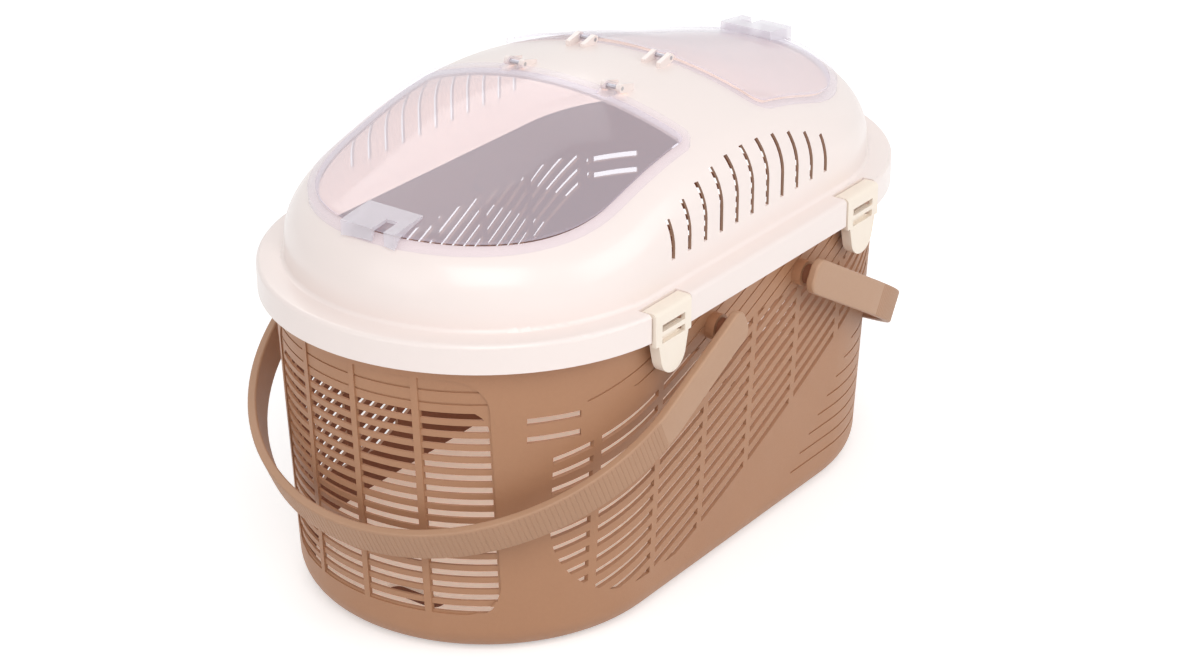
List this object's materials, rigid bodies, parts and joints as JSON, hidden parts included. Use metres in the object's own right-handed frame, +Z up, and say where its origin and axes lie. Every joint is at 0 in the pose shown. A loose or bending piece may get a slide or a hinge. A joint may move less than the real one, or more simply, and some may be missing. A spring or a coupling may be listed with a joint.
{
  "type": "small animal carrier basket",
  "caption": "Oval carrier basket for a small animal: ventilated brown tub, domed cream lid with two clear hinged windows, side clips and two swing handles.",
  "frame": {"origin": "on the ground plane, under the centre of the basket", "axes": "+X towards the rear window, +Y towards the far long side, +Z up"},
  "size_m": [0.5061, 0.3024, 0.314],
  "materials": {
    "basket_plastic": "satin moulded",
    "handle_plastic": "satin moulded, ribbed grip",
    "lid_plastic": "soft gloss",
    "panel_plastic": "fine matte",
    "clear_plastic": "clear polished",
    "pin_steel": "plain"
  },
  "bodies": {
    "basket": {"basket": "basket_plastic", "floor_panel": "panel_plastic", "front_near_pivot_pin": "basket_plastic", "front_far_pivot_pin": "basket_plastic", "rear_near_pivot_pin": "basket_plastic", "rear_far_pivot_pin": "basket_plastic"},
    "lid": {"lid_shell": "lid_plastic", "front_near_hinge_pin": "pin_steel", "front_far_hinge_pin": "pin_steel", "rear_near_hinge_pin": "pin_steel", "rear_far_hinge_pin": "pin_steel", "front_near_clip_pin": "pin_steel", "front_far_clip_pin": "pin_steel", "rear_near_clip_pin": "pin_steel", "rear_far_clip_pin": "pin_steel"},
    "front_window": {"front_window": "clear_plastic", "front_window_hood": "clear_plastic"},
    "rear_window": {"rear_window": "clear_plastic", "rear_window_hood": "clear_plastic"},
    "front_handle": {"front_handle": "handle_plastic"},
    "rear_handle": {"rear_handle": "handle_plastic"},
    "front_near_clip": {"front_near_clip": "lid_plastic"},
    "front_far_clip": {"front_far_clip": "lid_plastic"},
    "rear_near_clip": {"rear_near_clip": "lid_plastic"},
    "rear_far_clip": {"rear_far_clip": "lid_plastic"}
  },
  "joints": [
    {"name": "lid_lift", "type": "slide", "parent": "basket", "child": "lid", "axis": [0, 0, 1], "range_m": [0, 0.15]},
    {"name": "front_window_hinge", "type": "hinge", "parent": "lid", "child": "front_window", "pos_m": [-0.025, 0, 0.31096], "axis": [0, 1, 0], "range_deg": [0, 100]},
    {"name": "rear_window_hinge", "type": "hinge", "parent": "lid", "child": "rear_window", "pos_m": [0.04, 0, 0.31048], "axis": [0, -1, 0], "range_deg": [0, 100]},
    {"name": "front_handle_swing", "type": "hinge", "parent": "basket", "child": "front_handle", "pos_m": [-0.05, 0, 0.182], "axis": [0, -1, 0], "range_deg": [-125, 0]},
    {"name": "rear_handle_swing", "type": "hinge", "parent": "basket", "child": "rear_handle", "pos_m": [0.05, 0, 0.182], "axis": [0, 1, 0], "range_deg": [-125, 0]},
    {"name": "front_near_clip_hinge", "type": "hinge", "parent": "lid", "child": "front_near_clip", "pos_m": [-0.109, -0.1342, 0.2182], "axis": [-1, 0, 0], "range_deg": [0, 80]},
    {"name": "front_far_clip_hinge", "type": "hinge", "parent": "lid", "child": "front_far_clip", "pos_m": [-0.109, 0.1342, 0.2182], "axis": [1, 0, 0], "range_deg": [0, 80]},
    {"name": "rear_near_clip_hinge", "type": "hinge", "parent": "lid", "child": "rear_near_clip", "pos_m": [0.109, -0.1342, 0.2182], "axis": [-1, 0, 0], "range_deg": [0, 80]},
    {"name": "rear_far_clip_hinge", "type": "hinge", "parent": "lid", "child": "rear_far_clip", "pos_m": [0.109, 0.1342, 0.2182], "axis": [1, 0, 0], "range_deg": [0, 80]}
  ]
}
